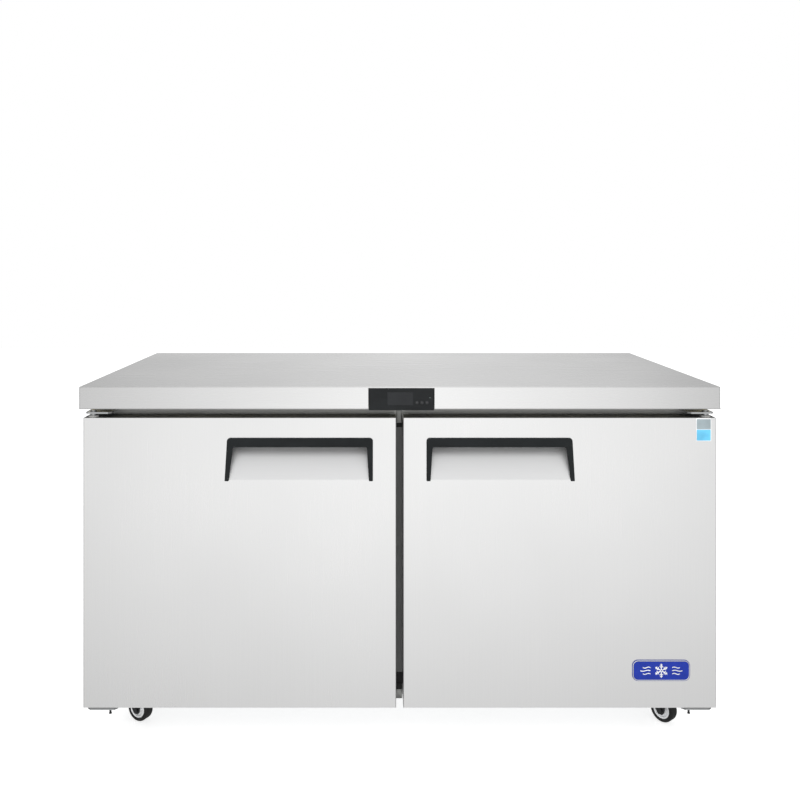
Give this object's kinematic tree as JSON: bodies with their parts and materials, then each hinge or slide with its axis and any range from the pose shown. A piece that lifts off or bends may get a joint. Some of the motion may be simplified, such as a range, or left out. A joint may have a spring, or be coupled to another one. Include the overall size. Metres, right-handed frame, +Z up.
{
  "type": "undercounter refrigerator",
  "caption": "Low stainless refrigerated cabinet with a flat worktop, two hinged doors with recessed grips, wire shelves, a rear cooling unit and swivel casters.",
  "frame": {"origin": "on the floor under the middle of the cabinet's bounding box", "axes": "+X to the user's right, +Y to the back (the doors face -Y), +Z up"},
  "size_m": [1.529, 0.762, 0.866],
  "materials": {
    "stainless": "horizontally brushed stainless sheet",
    "galvanised_sheet": "galvanised sheet, faint spangle",
    "black_plastic": "fine-textured moulded black",
    "dark_trim": "dark grey painted post",
    "insulation": "foamed-in-place polyurethane, matt",
    "liner_aluminium": "stucco-bright aluminium",
    "controller_plastic": "satin black bezel",
    "smoked_lens": "glossy smoked lens",
    "button_plastic": "soft black key",
    "hinge_steel": "zinc-plated steel",
    "screw_steel": "bright zinc",
    "fin_aluminium": "dull fin stock",
    "tray_plastic": "pale moulded tray",
    "fan_plastic": "black moulded blades",
    "compressor_enamel": "gloss black enamel",
    "copper": "drawn copper tube",
    "caster_zinc": "zinc-plated pressing",
    "caster_dark": "dark plated pressing",
    "wheel_rubber": "black tread on a light hub",
    "brake_plastic": "ribbed black pedal",
    "coated_wire": "epoxy-coated wire, off-white",
    "badge_enamel": "blue enamel with a bright rim",
    "gasket_rubber": "dark grey magnetic bellows seal",
    "handle_plastic": "matt black moulding",
    "bushing_nylon": "white nylon"
  },
  "bodies": {
    "cabinet": {"back_panel": "galvanised_sheet", "base_tray": "galvanised_sheet", "breaker_strips": "black_plastic", "cabinet_foam": "insulation", "caster_plates": "caster_zinc", "compressor": "compressor_enamel", "condensate_pan": "tray_plastic", "condenser_coil": "fin_aluminium", "controller_housing": "controller_plastic", "controller_window": "smoked_lens", "cord_gland": "black_plastic", "drip_tray": "tray_plastic", "evaporator_coil": "fin_aluminium", "evaporator_cover": "liner_aluminium", "fan_motors": "black_plastic", "fan_shroud": "galvanised_sheet", "fasteners": "screw_steel", "front_frame": "stainless", "hinge_brackets": "hinge_steel", "inner_liner": "liner_aluminium", "mullion_post": "dark_trim", "rear_grille": "galvanised_sheet", "refrigerant_lines": "copper", "shelf_clips": "screw_steel", "shelf_pilasters": "stainless", "side_panels": "stainless", "worktop": "stainless", "worktop_core": "insulation"},
    "left_door": {"left_door_bushings": "bushing_nylon", "left_door_caps": "black_plastic", "left_door_foam": "insulation", "left_door_gasket": "gasket_rubber", "left_door_handle": "handle_plastic", "left_door_liner": "liner_aluminium", "left_door_skin": "stainless"},
    "right_door": {"name_plate": "badge_enamel", "right_door_bushings": "bushing_nylon", "right_door_caps": "black_plastic", "right_door_foam": "insulation", "right_door_gasket": "gasket_rubber", "right_door_handle": "handle_plastic", "right_door_liner": "liner_aluminium", "right_door_skin": "stainless"},
    "shelf_left": {"shelf_left": "coated_wire"},
    "shelf_right": {"shelf_right": "coated_wire"},
    "evaporator_fan": {"evaporator_fan": "fan_plastic"},
    "condenser_fan": {"condenser_fan": "fan_plastic"},
    "button_set": {"button_set": "button_plastic"},
    "button_up": {"button_up": "button_plastic"},
    "button_down": {"button_down": "button_plastic"},
    "caster_fl": {"caster_fork_fl": "caster_dark"},
    "wheel_fl": {"caster_wheel_fl": "wheel_rubber"},
    "caster_fr": {"caster_fork_fr": "caster_dark"},
    "wheel_fr": {"caster_wheel_fr": "wheel_rubber"},
    "caster_rl": {"caster_fork_rl": "caster_dark"},
    "wheel_rl": {"caster_wheel_rl": "wheel_rubber"},
    "caster_rr": {"caster_fork_rr": "caster_dark"},
    "wheel_rr": {"caster_wheel_rr": "wheel_rubber"},
    "brake_fl": {"brake_pedal_fl": "brake_plastic"},
    "brake_fr": {"brake_pedal_fr": "brake_plastic"}
  },
  "joints": [
    {"name": "left_door_hinge", "type": "hinge", "parent": "cabinet", "child": "left_door", "pos_m": [-0.738, -0.352, 0.45], "axis": [0, 0, -1], "range_deg": [0, 110]},
    {"name": "right_door_hinge", "type": "hinge", "parent": "cabinet", "child": "right_door", "pos_m": [0.738, -0.352, 0.45], "axis": [0, 0, 1], "range_deg": [0, 110]},
    {"name": "caster_fl_swivel", "type": "hinge", "parent": "cabinet", "child": "caster_fl", "pos_m": [-0.6745, -0.227, 0.085], "axis": [0, 0, 1], "continuous": true},
    {"name": "wheel_fl_roll", "type": "hinge", "parent": "caster_fl", "child": "wheel_fl", "pos_m": [-0.65508, -0.23733, 0.0315], "axis": [0.4695, 0.8829, 0], "continuous": true},
    {"name": "brake_fl_pedal", "type": "hinge", "parent": "caster_fl", "child": "brake_fl", "pos_m": [-0.64801, -0.24108, 0.071], "axis": [0.4695, 0.8829, 0], "range_deg": [0, 15], "stiffness_Nm_per_rad": 0.4, "springref_deg": -5.73},
    {"name": "caster_fr_swivel", "type": "hinge", "parent": "cabinet", "child": "caster_fr", "pos_m": [0.6585, -0.227, 0.085], "axis": [0, 0, 1], "continuous": true},
    {"name": "wheel_fr_roll", "type": "hinge", "parent": "caster_fr", "child": "wheel_fr", "pos_m": [0.67293, -0.2436, 0.0315], "axis": [0.7547, 0.6561, 0], "continuous": true},
    {"name": "brake_fr_pedal", "type": "hinge", "parent": "caster_fr", "child": "brake_fr", "pos_m": [0.67818, -0.24964, 0.071], "axis": [0.7547, 0.6561, 0], "range_deg": [0, 15], "stiffness_Nm_per_rad": 0.4, "springref_deg": -5.73},
    {"name": "caster_rl_swivel", "type": "hinge", "parent": "cabinet", "child": "caster_rl", "pos_m": [-0.6745, 0.3, 0.085], "axis": [0, 0, 1], "continuous": true},
    {"name": "wheel_rl_roll", "type": "hinge", "parent": "caster_rl", "child": "wheel_rl", "pos_m": [-0.68274, 0.3204, 0.0315], "axis": [-0.9272, -0.3746, 0], "continuous": true},
    {"name": "caster_rr_swivel", "type": "hinge", "parent": "cabinet", "child": "caster_rr", "pos_m": [0.6585, 0.3, 0.085], "axis": [0, 0, 1], "continuous": true},
    {"name": "wheel_rr_roll", "type": "hinge", "parent": "caster_rr", "child": "wheel_rr", "pos_m": [0.66883, 0.31942, 0.0315], "axis": [-0.8829, 0.4695, 0], "continuous": true},
    {"name": "button_set_press", "type": "slide", "parent": "cabinet", "child": "button_set", "axis": [0, 1, 0], "range_m": [0, 0.0008], "stiffness_N_per_m": 600, "springref_m": -0.0005},
    {"name": "button_up_press", "type": "slide", "parent": "cabinet", "child": "button_up", "axis": [0, 1, 0], "range_m": [0, 0.0008], "stiffness_N_per_m": 600, "springref_m": -0.0005},
    {"name": "button_down_press", "type": "slide", "parent": "cabinet", "child": "button_down", "axis": [0, 1, 0], "range_m": [0, 0.0008], "stiffness_N_per_m": 600, "springref_m": -0.0005},
    {"name": "evaporator_fan_spin", "type": "hinge", "parent": "cabinet", "child": "evaporator_fan", "pos_m": [0, 0.217, 0.56], "axis": [0, 1, 0], "continuous": true},
    {"name": "condenser_fan_spin", "type": "hinge", "parent": "cabinet", "child": "condenser_fan", "pos_m": [-0.383, 0.283, 0.205], "axis": [1, 0, 0], "continuous": true},
    {"name": "shelf_left_lift", "type": "slide", "parent": "cabinet", "child": "shelf_left", "axis": [0, 0, 1], "range_m": [0, 0.04]},
    {"name": "shelf_right_lift", "type": "slide", "parent": "cabinet", "child": "shelf_right", "axis": [0, 0, 1], "range_m": [0, 0.04]}
  ]
}
